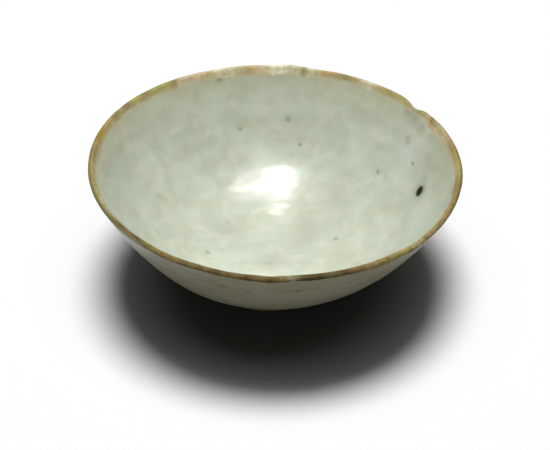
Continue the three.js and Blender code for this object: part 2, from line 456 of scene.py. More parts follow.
def makeTurnedTree():
    tree, given = startTree("turned wall", {
        "Geometry": ["profile"], "Float": turnedInputs, "Int": ["stepsRound"], "Material": ["material"],
    })
    sizes = {name: Field(given[name]) for name in turnedInputs + ["stepsRound"]}
    profile = given["profile"]

    # A grid with one column for each step round and one row for each point of the profile
    count = addNode(tree, "GeometryNodeAttributeDomainSize", {0: profile}, component="MESH")
    rows = Field(count.outputs["Point Count"])
    columns = sizes["stepsRound"] + 1.0
    grid = addNode(tree, "GeometryNodeMeshGrid", {"Vertices X": columns, "Vertices Y": rows})
    index = Field(addNode(tree, "GeometryNodeInputIndex").outputs[0])
    column = calc("FLOOR", (index + 0.5) / rows)
    row = index - column * rows
    column = calc("MODULO", column, sizes["stepsRound"])

    def sample(name, kind):
        values = addNode(tree, "GeometryNodeInputNamedAttribute", {"Name": name}, data_type=kind).outputs[0]
        node = addNode(tree, "GeometryNodeSampleIndex", data_type=kind, domain="POINT", clamp=True)
        feed(node.inputs["Geometry"], profile)
        feed(node.inputs["Value"], values)
        feed(node.inputs["Index"], row)
        return node.outputs[0]

    radius, _, height = separate(sample("position", "FLOAT_VECTOR"))
    pushOut, _, pushUp = separate(sample("push", "FLOAT_VECTOR"))
    slideOut, _, slideUp = separate(sample("slide", "FLOAT_VECTOR"))
    take = {name: Field(sample(name, "FLOAT")) for name in stationNumbers}

    fullTurn = 2.0 * math.pi
    even = column / sizes["stepsRound"] * fullTurn
    angle = sizes["dentAngle"] + even - sizes["facetDraw"] * calc("SINE", even)
    cosine = calc("COSINE", angle)
    sine = calc("SINE", angle)
    spot = combine(radius * cosine, radius * sine, height + sizes["seed"])
    side = clamp(take["below"] / mm, -1.0, 1.0)
    roundSpot = combine(cosine, sine, side * 3.0 + sizes["seed"])  # other noise inside and outside

    # Throwing rings wind up the wall as a spiral; the lumps are soft; the grit is only on bare clay
    stray = noise(spot, *grain["drift"]) * sizes["ringDrift"] * 2.0
    strength = uneven["ringFaint"] + uneven["ringGain"] * noise(spot, *grain["ringPatches"])
    rings = calc("SINE", (take["turns"] + stray) * fullTurn - angle) * strength
    lumps = (noise(spot, sizes["lumpSize"], 1.0) - uneven["lumpLevel"]) * 2.0
    dimples = noise(spot, *grain["dimples"]) - 0.5
    dimples = dimples * (2.0 * wall["dimples"] / wall["lumpInside"])
    grit = noise(spot, *grain["grit"]) - 0.5
    raised = rings * take["ring"] + (lumps + dimples) * take["lump"] + grit * take["grit"]
    for markRadius, markAngle, up, across, out in fingerMarks:
        away = turnFrom(angle, markAngle * degree) * (markRadius * mm)
        press = hump(radius - markRadius * mm, up * mm) * hump(away, across * mm)
        raised = raised + press * take["mark"] * (out * mm)

    # The brown band's edge wanders up and down the wall
    wander = (noise(roundSpot, *grain["wander"]) - 0.5) * (2.0 * uneven["wander"])
    newRadius = radius + raised * pushOut + wander * slideOut
    newHeight = height + raised * pushUp + wander * slideUp

    # The lip runs a little higher and lower round the mouth
    climb = clamp(radius / sizes["mouthRadius"]) ** uneven["lipGrowth"]
    lift = (noise(roundSpot, *grain["lift"]) - 0.5) * uneven["lift"]
    lift = lift + (noise(roundSpot, *grain["crest"]) - uneven["crestLevel"]) * uneven["crest"]
    for markAngle, across, higher, further in rimMarks:
        mark = hump(turnFrom(angle, markAngle * degree), across * degree) * climb
        newHeight = newHeight + mark * (higher * mm)
        newRadius = newRadius + mark * (further * mm)
    newHeight = newHeight + lift * climb

    x, y, z = place(calc("MAXIMUM", newRadius, 0.0), newHeight, angle, sizes)
    kept = addNode(tree, "GeometryNodeStoreNamedAttribute", {
        "Geometry": grid.outputs["Mesh"], "Name": "below", "Value": take["below"],
    }, data_type="FLOAT", domain="POINT")
    moved = addNode(tree, "GeometryNodeSetPosition", {
        "Geometry": kept.outputs[0], "Position": combine(x, y, z),
    })
    closed = addNode(tree, "GeometryNodeMergeByDistance", {
        "Geometry": moved.outputs[0], "Distance": sizes["closeWithin"],
    })
    outwards = addNode(tree, "GeometryNodeFlipFaces", {"Mesh": closed.outputs[0]})
    smooth = addNode(tree, "GeometryNodeSetShadeSmooth", {
        "Geometry": outwards.outputs[0], "Shade Smooth": True,
    })
    bend = Field(addNode(tree, "GeometryNodeInputMeshEdgeAngle").outputs["Unsigned Angle"])
    gentle = calc("LESS_THAN", bend, sizes["sharpAngle"])
    edges = addNode(tree, "GeometryNodeSetShadeSmooth", {
        "Geometry": smooth.outputs[0], "Shade Smooth": gentle,
    }, domain="EDGE")
    real = addNode(tree, "GeometryNodeRealizeInstances", {"Geometry": edges.outputs[0]})
    return endTree(tree, real, given["material"])


turnedInputs = [
    "mouthRadius", "mouthOval", "rimHeight", "footRecess", "footOffset", "lean", "mouthLobe", "lobeAngle",
    "dentAngle", "dentSpread", "dentDrop", "dentPush", "lobeGrowth", "dentGrowth", "shiftFade",
    "facetDraw", "lumpSize", "ringDrift", "seed", "sharpAngle", "closeWithin",
]
turnedTree = makeTurnedTree()


def profileMesh(name, stations):
    mesh = bpy.data.meshes.new(name)
    mesh.from_pydata([(made["point"].x, 0.0, made["point"].y) for made in stations], [], [])
    for way in ("push", "slide"):
        kept = mesh.attributes.new(way, "FLOAT_VECTOR", "POINT")
        parts = [(made[way].x, 0.0, made[way].y) for made in stations]
        kept.data.foreach_set("vector", [part for vector in parts for part in vector])
    for number in stationNumbers:
        kept = mesh.attributes.new(number, "FLOAT", "POINT")
        kept.data.foreach_set("value", [made[number] for made in stations])
    return mesh


def setInputs(modifier, tree, values):
    for item in tree.interface.items_tree:
        if item.in_out == "INPUT" and item.name in values:
            modifier[item.identifier] = values[item.name]


def finishPiece(name, source, nodes):  # a plain mesh object at the origin, standing for its CAD nodes
    evaluated = source.evaluated_get(bpy.context.evaluated_depsgraph_get())
    mesh = bpy.data.meshes.new_from_object(evaluated)
    mesh.name = name
    bpy.data.objects.remove(source)
    piece = addObject(name, mesh)
    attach(piece, "root")
    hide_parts(*nodes)
    print(name + ":", len(mesh.vertices), "points,", len(mesh.polygons), "faces")
    return piece


def turnPiece(name, stations, node, material):
    source = addObject(name + " profile", profileMesh(name + " profile", stations))
    modifier = source.modifiers.new("turned wall", "NODES")
    modifier.node_group = turnedTree
    setInputs(modifier, turnedTree, {**bowl, **turned, "material": material})
    return finishPiece(name, source, [node])


# Materials

def colour(red, green, blue):  # from the values that a picture shows to linear ones
    parts = [part / 255 for part in (red, green, blue)]
    return [part / 12.92 if part <= 0.04045 else ((part + 0.055) / 1.055) ** 2.4 for part in parts] + [1.0]


def blend(share, first, second):
    node = addNode(share.tree, "ShaderNodeMix", data_type="RGBA", clamp_factor=True)
    feed(node.inputs[0], share)
    feed(node.inputs[6], first)
    feed(node.inputs[7], second)
    return node.outputs[2]


def startMaterial(name):
    material = bpy.data.materials.new(name)
    material.use_nodes = True
    tree = material.node_tree
    tree.nodes.clear()
    shader = tree.nodes.new("ShaderNodeBsdfPrincipled")
    out = tree.nodes.new("ShaderNodeOutputMaterial")
    feed(out.inputs[0], shader.outputs[0])
    spot = addNode(tree, "ShaderNodeTexCoord").outputs["Object"]
    return material, shader, spot


shaderNumbers = {
    "roughness": "Roughness",
    "specular": "Specular IOR Level",
    "coat": "Coat Weight",
    "coatRoughness": "Coat Roughness",
}


def finishShader(shader, finish, baseColour, height=None):  # height is the fine relief of the surface
    feed(shader.inputs["Base Color"], baseColour)
    for name, socket in shaderNumbers.items():
        if name in finish:
            shader.inputs[socket].default_value = finish[name]
    if height:
        relief = addNode(shader.id_data, "ShaderNodeBump", {"Height": height, "Distance": finish["relief"]})
        feed(shader.inputs["Normal"], relief.outputs[0])


def attribute(spot, name):  # a number that the mesh carries
    return Field(addNode(spot.id_data, "ShaderNodeAttribute", attribute_name=name).outputs["Fac"])


def roundTheBowl(spot, stray):  # the direction from the axis to a spot, strayed by a noise
    sway = addNode(spot.id_data, "ShaderNodeTexNoise", {
        "Vector": spot, "Scale": 1.0 / lip["swaySize"], "Detail": 2.0,
    })
    swayX, swayY, _ = separate(sway.outputs["Color"])
    x, y, _ = separate(spot)
    x = x + (swayX - 0.5) * stray
    y = y - bowl["mouthLobe"] + (swayY - 0.5) * stray
    reach = (x * x + y * y + 1e-9) ** 0.5  # never 0
    return x / reach, y / reach


def nearAngle(way, centre, across):  # 1 at the centre's angle, fading over so many degrees to each side
    facing = way[0] * math.cos(centre * degree) + way[1] * math.sin(centre * degree)
    return calc("EXPONENT", (facing - 1.0) * (2.0 / (across * degree) ** 2))


# Burnt lip: its colours, and how far it comes down from the top of the round
lip = {
    "ochre": colour(186, 175, 126),
    "olive": colour(184, 182, 100),
    "golden": colour(172, 144, 62),
    # tan and cream are lighter than the lip's own colour: partly its pale glaze, partly a painted highlight
    # of the glossy rear lip
    "tan": colour(226, 204, 162),
    "cream": colour(242, 238, 202),
    "bronze": colour(152, 130, 70),
    "brown": colour(86, 68, 42),
    "umber": colour(100, 68, 40),
    "black": colour(46, 38, 22),
    "top": colour(100, 88, 46),
    "moss": colour(132, 124, 60),
    "rust": colour(146, 104, 62),
    "orange": colour(204, 168, 112),
    "glazed": colour(176, 178, 150),
    "fringe": colour(208, 186, 146),
    "coarse": (5 * mm, 3.0, 0.6),  # noises of the colours and of the edges, as in grain
    "fine": (2.6 * mm, 1.0, 0.5),
    "crumbs": (3.2 * mm, 2.0, 0.6),
    "goldenEdge": (0.35, 0.65),  # where in its noise a colour starts and is full
    "goldenShare": 0.4,
    "crumbLevel": 1.05,  # of the dark and mossy crumbs, less the share of the rear
    "umberEdge": (0.53, 0.62),
    "umberShare": 0.8,
    "mossEdge": (0.55, 0.64),
    "mossShare": 0.6,
    "insideReach": 4.3 * mm,
    "outsideReach": 1.8 * mm,
    "edgeStray": 1.8 * mm,
    "outsideStray": 0.6,  # how much of it the outside takes
    "soft": 0.9 * mm,
    "rearEdge": (-0.6, 0.1),  # where the front goes over into the rear
    "frontFringe": 0.3,  # how much of the paler edge the front has
    "fringeReach": 1.1 * mm,  # the paler edge next to the inside glaze
    "fringeShare": 0.55,
    "topReach": 1.7 * mm,
    "topShare": 0.4,  # how much the top of the round is burnt
    "sideTop": 0.45,  # what it gains at the two sides
    "sideSlide": 0.8 * mm,  # how far it slides outside there
    "rearTop": 0.3,  # what it loses at the rear, which stands partly for a painted highlight on the glossy lip
    "leftMoss": 0.7,
    "leftMossReach": 2.38 * mm,
    "mottle": 0.588,  # share by which the lightness strays
    "sway": 9 * mm,  # how far a stretch's ends stray
    "swaySize": 7 * mm,
    "roughness": 0.6,
    "specular": 0.12,
    "reliefSize": 1.2 * mm,
    "relief": 0.03 * mm,
}

# Parts of the lip: angle, degrees to each side
lipParts = {
    "leftSide": (200, 22),
    "rightSide": (352, 22),
    "rear": (97, 30),
    "noFringe": (93, 14),
    "leftMoss": (200, 15),
}

# Stretches of the lip: angle, degrees to each side, colour, strength
lipStretches = [
    (0, 4, "olive", 0.3),
    (9, 5, "bronze", 0.6),
    (17, 4, "tan", 0.5),
    (23, 2, "cream", 0.3),
    (26.5, 1.8, "rust", 0.6),
    (29, 1.5, "cream", 0.2),
    (33, 1.6, "moss", 0.9),
    (36, 2.2, "glazed", 0.8),
    (44, 5, "olive", 0.6),
    (49, 3, "golden", 0.4),
    (56.5, 3, "cream", 0.85),
    (65.5, 2.2, "moss", 0.7),
    (71.5, 3, "orange", 0.8),
    (77, 1.6, "cream", 0.8),
    (79.8, 1.4, "moss", 0.8),
    (83, 2, "tan", 0.6),
    (89, 6, "cream", 1.0),
    (95, 3, "tan", 0.8),
    (100, 2.5, "orange", 0.4),
    (105, 3.5, "cream", 0.6),
    (110, 3, "cream", 0.7),
    (118, 5, "tan", 1.0),
    (122.5, 1.6, "cream", 0.5),
    (126, 1.6, "rust", 0.4),
    (134, 6, "olive", 1.0),
    (139, 2.5, "rust", 0.5),
    (143, 3, "olive", 0.8),
    (148, 2, "rust", 0.7),
    (155, 2.5, "moss", 0.8),
    (161, 3, "orange", 0.4),
    (167, 5, "golden", 1.0),
    (178, 4, "moss", 0.4),
    (201, 5, "tan", 0.5),
    (207, 5, "cream", 0.4),
    (218.5, 4, "brown", 1.0),
    (221, 1.5, "rust", 0.5),
    (226, 3.5, "brown", 1.0),
    (231, 2.5, "moss", 0.8),
    (237.5, 4, "bronze", 0.7),
    (244, 3.5, "brown", 0.8),
    (248.5, 1.5, "moss", 0.6),
    (254, 4, "brown", 0.9),
    (262, 5, "umber", 1.0),
    (269, 3.5, "umber", 0.9),
    (273.7, 1.0, "cream", 0.6),
    (281.5, 7, "black", 1.0),
    (289, 3.5, "brown", 0.9),
    (294.5, 2.5, "rust", 0.7),
    (301, 4, "bronze", 0.6),
    (310, 4, "olive", 0.5),
    (316, 3, "cream", 0.3),
    (331, 9, "orange", 0.6),
    (346, 8, "bronze", 0.8),
]

# Where the burnt edge comes further down the inside: angle, degrees to each side, mm
lipTongues = [
    (8, 4, 0.8),
    (25, 3, 1.6),
    (32, 4, -0.9),
    (80, 3, 0.9),
    (90, 10, 1.0),
    (104, 12, 1.3),
    (126, 6, 0.9),
    (175, 6, 2.2),
    (202, 5, 3.2),
    (262, 34, -1.4),
    (315, 5, -1.3),
    (334, 5, 0.8),
    (348, 4, 2.2),
]

# The same for the outside
outsideTongues = [
    (222, 12, -1.0),
    (268, 36, 0.9),
    (303, 9, 1.9),
    (320, 5, 1.2),
]


def burnLip(spot, glaze):  # the glaze's colour with the burnt lip over it
    way = roundTheBowl(spot, lip["sway"])
    below = attribute(spot, "below")
    coarse = noise(spot, *lip["coarse"])
    fine = noise(spot, *lip["fine"])
    near = {name: nearAngle(way, *part) for name, part in lipParts.items()}

    # How far the burnt colours come down on both sides
    stray = (coarse + fine - 1.0) * lip["edgeStray"]
    inside = lip["insideReach"] + stray
    for centre, across, further in lipTongues:
        inside = inside + nearAngle(way, centre, across) * (further * mm)
    outside = lip["outsideReach"] + stray * lip["outsideStray"]
    for centre, across, further in outsideTongues:
        outside = outside + nearAngle(way, centre, across) * (further * mm)

    # Ochre and golden all round, then the stretches and the crumbs
    golden = ease(coarse, *lip["goldenEdge"]) * lip["goldenShare"]
    mix = blend(golden, lip["ochre"], lip["golden"])
    for centre, across, name, strength in lipStretches:
        mix = blend(nearAngle(way, centre, across) * strength, mix, lip[name])
    rear = ease(way[1], *lip["rearEdge"])
    rear = lip["frontFringe"] + (1.0 - lip["frontFringe"]) * rear
    front = lip["crumbLevel"] - rear
    crumbs = noise(spot, *lip["crumbs"])
    umber = ease(crumbs, *lip["umberEdge"]) * front * lip["umberShare"]
    mix = blend(umber, mix, lip["umber"])
    moss = ease(1.0 - crumbs, *lip["mossEdge"]) * front * lip["mossShare"]
    mix = blend(moss, mix, lip["moss"])

    # The paler edge inside, the darker top and the mossy crest on the left
    fringe = hump(below - inside + lip["fringeReach"], lip["fringeReach"])
    fringe = fringe * rear * (1.0 - near["noFringe"])
    mix = blend(fringe * lip["fringeShare"], mix, lip["fringe"])
    sides = near["leftSide"] + near["rightSide"]
    # less darkening at the rear: partly a painted highlight on the glossy rear lip
    burnt = lip["topShare"] + sides * lip["sideTop"] - near["rear"] * lip["rearTop"]
    top = hump(below + sides * lip["sideSlide"], lip["topReach"]) * burnt
    mix = blend(top, mix, lip["top"])
    moss = hump(below + lip["sideSlide"], lip["leftMossReach"]) * near["leftMoss"]
    mix = blend(moss * lip["leftMoss"], mix, lip["moss"])

    light = 1.0 + (fine + coarse - 1.0) * lip["mottle"]
    lit = addNode(light.tree, "ShaderNodeVectorMath", {0: mix, "Scale": light}, operation="SCALE")
    soft = lip["soft"]
    past = calc("MAXIMUM", below - inside, -1.0 * below - outside)
    return blend(ease(past, -soft, soft), lit.outputs[0], glaze)


glazeInside = {
    "base": colour(195, 203, 184),
    "warm": colour(200, 197, 174),
    "cool": colour(188, 202, 185),
    "blush": colour(200, 199, 186),
    "pale": colour(212, 219, 204),
    "light": colour(220, 221, 198),
    "grey": colour(164, 166, 148),
    "stain": colour(200, 194, 154),  # warm stain below the lip
    "fleck": colour(132, 130, 104),
    "stainReach": 6 * mm,
    "stainSway": 6 * mm,
    "stainShare": 0.8,
    "stainFront": 0.3,  # how much of it the front has, and where the front ends
    "stainEdge": (-0.75, 0.0),
    "stainLeast": 0.6,  # where the clouds are weakest
    "roughness": 0.42,
    "specular": 0.2,
    "coat": 0.8,
    "coatRoughness": 0.17,
    "reliefSize": 1.4 * mm,
    "relief": 0.01 * mm,
}

# Noises of the inside glaze: size of the lumps mm, detail, roughness, stray, and a shift that sets it apart
glazeNoises = {
    "clouds": (26, 3.0, 0.6, 0.4, 0.0),
    "patches": (12, 2.0, 0.6, 0.3, 0.0),
    "fine": (5.5, 1.0, 0.5, 0.0, 0.0),
    "tint": (9, 2.0, 0.6, 0.0, 0.3),
    "blush": (6, 3.0, 0.6, 0.0, -0.3),
}

# Colours laid over the base: noise, where the colour starts and is full, strength, colour
glazeLayers = [
    ("clouds", 0.35, 0.68, 0.7, "warm"),
    ("patches", 0.42, 0.68, 0.5, "pale"),
    ("gaps", 0.42, 0.68, 0.3, "grey"),
    ("fine", 0.45, 0.65, 0.1, "grey"),
    ("tint", 0.35, 0.65, 0.5, "cool"),
    ("blush", 0.45, 0.7, 0.3, "blush"),
]

# Soft clouds and flecks laid over the inside glaze; some clouds are painted shade and painted highlights,
# as marked: distance from the axis mm, angle, size mm, colour, strength
glazeCloudsAndPaintedLight = [
    (82, 262, 14, "grey", 0.3),
    (79, 16, 11, "grey", 0.35),
    (54, 45, 12, "grey", 0.2),
    (66, 172, 13, "pale", 0.45),
    (22, 262, 8, "light", 1.0),
    (8, 290, 8, "grey", 0.3),
    (39, 210, 10, "light", 0.8),
    (22, 45, 11, "grey", 0.5),
    (27, 143, 11, "grey", 0.45),
    (74, 196, 17, "pale", 0.35),
    (73, 352, 13, "pale", 0.5),
    (54, 345, 12, "pale", 0.3),
    (78, 31, 9, "pale", 0.5),
    (42, 47, 14, "grey", 0.3),
    # pale cloud above the main highlight: painted reflection
    (58, 94, 9, "pale", 0.9),
    # pale cloud at the second highlight: painted highlight glow
    (27, 76, 6, "pale", 0.5),
    # grey patches below the notch: painted shade of the pinched dent in the lip
    (86, 38, 3.2, "grey", 0.9),
    (85, 34, 3.2, "grey", 0.8),
    (84, 29.5, 2.6, "grey", 0.6),
    (79.5, 32.5, 2.2, "grey", 0.6),
    (85.6, 25.5, 2.2, "pale", 0.9),
    (85.5, 110, 2.0, "fleck", 0.8),
    (78.4, 31.3, 1.4, "fleck", 0.3),
    (75.8, 11.7, 1.4, "fleck", 0.3),
    (61.3, 159.6, 1.3, "fleck", 0.3),
    (57.7, 76.6, 1.2, "fleck", 0.3),
    (30.8, 134.9, 1.3, "fleck", 0.3),
    (8.6, 269.9, 1.5, "fleck", 0.25),
]


def wallPoint(face, radius, angle):  # a point of a face, by distance from the axis in mm and angle
    return place(radius * mm, faceHeight(face, radius * mm), angle * degree, bowl)


def cloud(spot, centre, size):  # 1 at the centre, fading over the size
    away = addNode(spot.id_data, "ShaderNodeVectorMath", {0: spot, 1: centre}, operation="DISTANCE")
    return hump(Field(away.outputs["Value"]), size)


def makeInsideGlaze():
    material, shader, spot = startMaterial("inside glaze")
    noises = {}
    for name, (size, detail, roughness, stray, shift) in glazeNoises.items():
        moved = combine(*[part + shift for part in separate(spot)])
        noises[name] = noise(moved, size * mm, detail, roughness, stray)
    noises["gaps"] = 1.0 - noises["patches"]
    mix = glazeInside["base"]
    for name, start, full, strength, tone in glazeLayers:
        mix = blend(ease(noises[name], start, full) * strength, mix, glazeInside[tone])
    toLip = calc("MAXIMUM", attribute(spot, "below") - lip["insideReach"], 0.0)
    way = roundTheBowl(spot, glazeInside["stainSway"])
    front = glazeInside["stainFront"]
    stain = calc("EXPONENT", -1.0 * toLip / glazeInside["stainReach"])
    stain = stain * glazeInside["stainLeast"] * (1.0 + noises["clouds"])
    stain = stain * (front + (1.0 - front) * ease(way[1], *glazeInside["stainEdge"]))
    mix = blend(stain * glazeInside["stainShare"], mix, glazeInside["stain"])
    for radius, angle, size, tone, strength in glazeCloudsAndPaintedLight:
        share = cloud(spot, wallPoint(insideFace, radius, angle), size * mm)
        mix = blend(share * strength, mix, glazeInside[tone])
    for node, speck in specks.items():
        low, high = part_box(node)
        size = (speck["length"] + speck["width"]) / 4 * speckForm["halo"] * mm
        share = cloud(spot, tuple((low + high) / 2), size)
        mix = blend(share * speck["halo"], mix, glazeInside["fleck"])
    relief = noise(spot, glazeInside["reliefSize"])
    finishShader(shader, glazeInside, burnLip(spot, mix), relief)
    return material


glazeOutside = {
    "base": colour(184, 184, 158),
    "warm": colour(176, 170, 138),
    "fleck": colour(120, 108, 78),
    "clouds": (18 * mm, 4.0, 0.6, 0.4),
    "warmEdge": (0.35, 0.7),
    "roughness": 0.25,
    "reliefSize": 1.4 * mm,
    "relief": 0.02 * mm,
}

# Flecks in the outside glaze: distance from the axis mm, angle, size mm, strength
outsideFlecks = [
    (84, 254, 1.5, 0.7),
    (83, 262, 1.2, 0.5),
    (84, 277, 1.6, 0.6),
    (80, 302, 1.2, 0.4),
    (72, 120, 1.5, 0.5),
    (66, 20, 1.4, 0.5),
    (78, 170, 1.3, 0.5),
]


def makeOutsideGlaze():
    material, shader, spot = startMaterial("outside glaze")
    warm = ease(noise(spot, *glazeOutside["clouds"]), *glazeOutside["warmEdge"])
    mix = blend(warm, glazeOutside["base"], glazeOutside["warm"])
    for radius, angle, size, strength in outsideFlecks:
        share = cloud(spot, wallPoint(outsideFace, radius, angle), size * mm)
        mix = blend(share * strength, mix, glazeOutside["fleck"])
    relief = noise(spot, glazeOutside["reliefSize"])
    finishShader(shader, glazeOutside, burnLip(spot, mix), relief)
    return material


def makeLip():
    material, shader, spot = startMaterial("burnt lip")
    inside = ease(attribute(spot, "below"), -lipRound, lipRound)
    glaze = blend(inside, glazeOutside["base"], glazeInside["stain"])
    relief = noise(spot, lip["reliefSize"])
    finishShader(shader, lip, burnLip(spot, glaze), relief)
    return material


clayFinish = {
    "base": colour(186, 162, 124),
    "dark": colour(150, 122, 86),
    "roughness": 0.85,
    "sand": (1.2 * mm, 4.0, 0.65),
    "darkEdge": (0.4, 0.7),
    "relief": 0.1 * mm,
}


def makeClay():
    material, shader, spot = startMaterial("bare clay")
    sand = noise(spot, *clayFinish["sand"])
    mix = blend(ease(sand, *clayFinish["darkEdge"]), clayFinish["base"], clayFinish["dark"])
    finishShader(shader, clayFinish, mix, sand)
    return material


# Iron specks, dark at the heart and going over into the glaze at the edge
ironFinish = {
    "spot": (colour(20, 18, 10), colour(96, 92, 68)),
    "speck": (colour(152, 154, 132), colour(184, 191, 171)),
    "spotEdge": (0.45, 1.0),  # where the edge's colour starts and is full, as shares of the half size
    "speckEdge": (0.0, 0.85),
    "fine": (0.9 * mm, 2.0, 0.6),
    "mottle": 0.3,
    "roughness": 0.5,
    "specular": 0.12,
}


def makeIron(name):
    material, shader, spot = startMaterial("iron " + name)
    stray = (noise(spot, *ironFinish["fine"]) - 0.5) * ironFinish["mottle"]
    share = ease(attribute(spot, "rim") + stray, *ironFinish[name + "Edge"])
    finishShader(shader, ironFinish, blend(share, *ironFinish[name]))
    return material


# Length and width in mm along the wall, degrees from level, and the strength of the halo round it
specks = {
    "iron_spot_large": {"length": 6.0, "width": 5.1, "turned": 43, "halo": 0.95},
    "iron_speck_rear_left": {"length": 2.8, "width": 2.4, "turned": 90, "halo": 0.25},
    "iron_speck_rear": {"length": 4.0, "width": 2.3, "turned": 90, "halo": 0.3},
    "iron_speck_rear_low": {"length": 2.8, "width": 2.1, "turned": 90, "halo": 0.15},
    "iron_speck_right_low": {"length": 3.3, "width": 2.5, "turned": 13, "halo": 0.25},
    "iron_speck_right": {"length": 3.4, "width": 2.4, "turned": 22, "halo": 0.2},
    "iron_speck_floor_right": {"length": 3.1, "width": 2.8, "turned": 0, "halo": 0.15},
    "iron_speck_floor_left": {"length": 3.4, "width": 2.6, "turned": 0, "halo": 0.3},
}
speckForm = {
    "thickness": 0.30 * mm,
    "sunk": 0.07 * mm,  # middle of the speck below the glaze's face
    "halo": 1.25,  # size of the halo, in the speck's half sizes
    "ragged": 0.16 * mm,  # how far the outline strays
    "raggedSize": 0.5 * mm,
    "rounds": 4,
    "seed": 4.0,
    "above": 4 * mm,  # where the search for the glaze below a speck starts
}

insideGlazeMaterial = makeInsideGlaze()
outsideGlazeMaterial = makeOutsideGlaze()
lipMaterial = makeLip()
clayMaterial = makeClay()
spotMaterial = makeIron("spot")
speckMaterial = makeIron("speck")
print("materials: made")


# Clay wall with the low boss under it; the coats cover all of it

footOuter = bowl["footRadius"]
footInner = footOuter - bowl["footWidth"]
footGlazed = footOuter + bowl["outerGlaze"]
seatHeight = facePoint(outsideFace, footOuter, -bowl["outerGlaze"]).y
footCorner = faceHeight(outsideFace, footGlazed)
bare = bowl["footBare"]
recess = bowl["footRecess"]
clayLip = lipStations(bowl["outerGlaze"], bowl["innerGlaze"])

turnPiece("clayBody", [
    corner(0.0, recess),
    corner(footInner, recess),
    corner(footInner, seatHeight),
    corner(footOuter, seatHeight),
    *outsideStations(bowl["outerGlaze"], 2),
    *clayLip,
    *insideStations(bowl["innerGlaze"], 2)[::-1],
], "clay_body", clayMaterial)


# Foot ring, bare where it stands

foot = {
    "bevelSteps": 4,
    "grit": 0.10 * mm,
}


def cornerStations(centre, start, end, radius):  # a rounded edge of the foot
    stations = []
    for share in spread(0.0, 1.0, foot["bevelSteps"]):
        way = heading(start + (end - start) * share)
        grit = foot["grit"] * math.sin(math.pi * share)
        stations.append(station(centre + way * radius, push=way, grit=grit))
    return stations


bevel = bowl["footBevel"]
footStations = [
    *cornerStations(Vector((footOuter - bevel, bevel)), -90 * degree, 0.0, bevel),
    corner(footOuter, bare),
    corner(footOuter, seatHeight),
    corner(footInner, seatHeight),
    corner(footInner, recess),
    corner(footInner, bare),
    *cornerStations(Vector((footInner + bevel, bevel)), 180 * degree, 270 * degree, bevel),
]
turnPiece("footRing", footStations + footStations[:1], "foot_ring", clayMaterial)


# Glaze coats

coat = {
    "edgeIn": 0.1 * mm,  # the glaze's wiped edge above the bare strip
    "edgeUp": 0.15 * mm,
    "poolSteps": 6,
    "wellSteps": 12,
    "wellRound": 2 * mm,  # between the well's floor and its side
    "wellRoundSteps": 6,
}

outerGlazeStations = [
    corner(footOuter, bare),
    corner(footGlazed - coat["edgeIn"], bare),
    corner(footGlazed, bare + coat["edgeUp"]),
    corner(footGlazed, (bare + footCorner - bowl["footPool"]) / 2),
]
turnPoint = Vector((footGlazed, footCorner))
poolStart = Vector((footGlazed, footCorner - bowl["footPool"]))
poolEnd = facePoint(outsideFace, footGlazed + bowl["footPool"], 0.0)
for share in spread(0.0, 1.0, coat["poolSteps"])[:-1]:
    first = poolStart.lerp(turnPoint, share)
    outerGlazeStations.append(station(first.lerp(turnPoint.lerp(poolEnd, share), share)))
outerGlazeStations += [
    *outsideStations(0.0),
    *outsideStations(bowl["outerGlaze"], 2)[::-1],
    corner(footOuter, seatHeight),
]
outerGlazeStations.append(outerGlazeStations[0])
turnPiece("outerGlaze", outerGlazeStations, "outer_glaze", outsideGlazeMaterial)

innerGlaze = turnPiece("innerGlaze", [
    *insideStations(bowl["innerGlaze"], 2),
    *insideStations(0.0)[::-1],
], "inner_glaze", insideGlazeMaterial)

lipProfile = [*lipStations(0.0, 0.0), *clayLip[::-1]]
turnPiece("lipBand", lipProfile + lipProfile[:1], "lip_band", lipMaterial)

wellRadius = footInner - bowl["wellGlaze"]
wellHeight = recess - bowl["wellGlaze"]
wellRound = coat["wellRound"]
wellCentre = Vector((wellRadius - wellRound, wellHeight - wellRound))
wellStations = [corner(radius, wellHeight) for radius in spread(0.0, wellCentre.x, coat["wellSteps"])]
for angle in spread(90 * degree, 0.0, coat["wellRoundSteps"])[1:]:
    wellStations.append(station(wellCentre + heading(angle) * wellRound))
wellStations += [
    corner(wellRadius, bare),
    corner(footInner, bare),
    corner(footInner, recess),
    corner(0.0, recess),
]
turnPiece("footWellGlaze", wellStations, "foot_well_glaze", outsideGlazeMaterial)


# Iron specks melted into the inside glaze, at the places of their CAD nodes

glazeMesh = innerGlaze.data
glazeFaces = BVHTree.FromPolygons(
    [point.co for point in glazeMesh.vertices], [face.vertices for face in glazeMesh.polygons],
)


def speckSeat(node):  # a frame on the glaze: level along it, up it, and square to it
    low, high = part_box(node)
    up = Vector((0, 0, 1))
    centre, normal, _, _ = glazeFaces.ray_cast((low + high) / 2 + up * speckForm["above"], -up)
    level = up.cross(normal).normalized()
    turn = Matrix((level, normal.cross(level), normal)).transposed().to_4x4()
    turn = turn @ Matrix.Rotation(specks[node]["turned"] * degree, 4, "Z")
    return centre - normal * speckForm["sunk"], turn.to_euler()


